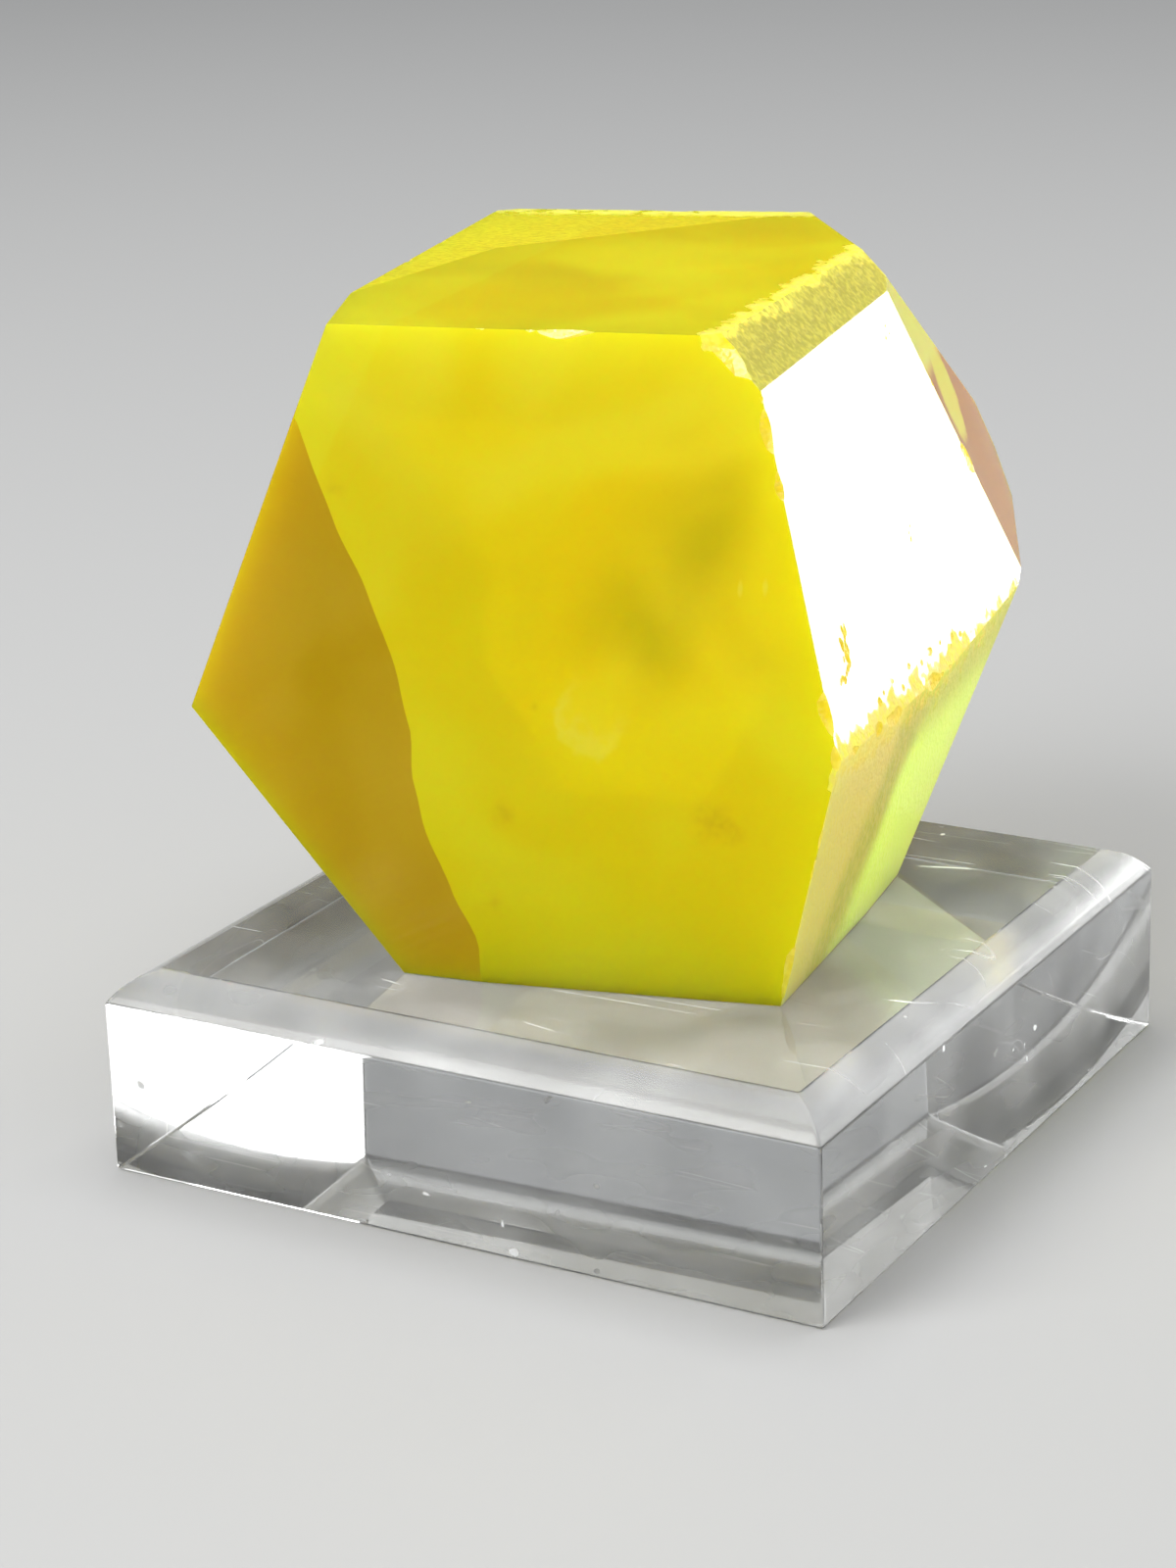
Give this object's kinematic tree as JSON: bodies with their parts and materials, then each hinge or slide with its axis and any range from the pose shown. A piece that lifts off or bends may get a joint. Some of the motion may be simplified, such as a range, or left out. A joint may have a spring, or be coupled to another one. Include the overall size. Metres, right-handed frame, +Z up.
{
  "type": "native sulfur crystal",
  "caption": "Translucent yellow sulfur crystal with flat pyramid faces, resting on a clear square display block with bevelled top edges.",
  "frame": {"origin": "centre of the display block's underside", "axes": "+Z up out of the block's top, +X along the block's front side to the viewer's right, +Y away from the front side"},
  "size_m": [0.0579, 0.0683, 0.0519],
  "materials": {
    "sulfur": "translucent yellow crystal, vitreous to resinous faces, some of them frosted",
    "clear_acrylic": "clear polished, with hairline scratches"
  },
  "bodies": {
    "root": {"sulfur_crystal": "sulfur", "display_block": "clear_acrylic"}
  },
  "joints": []
}
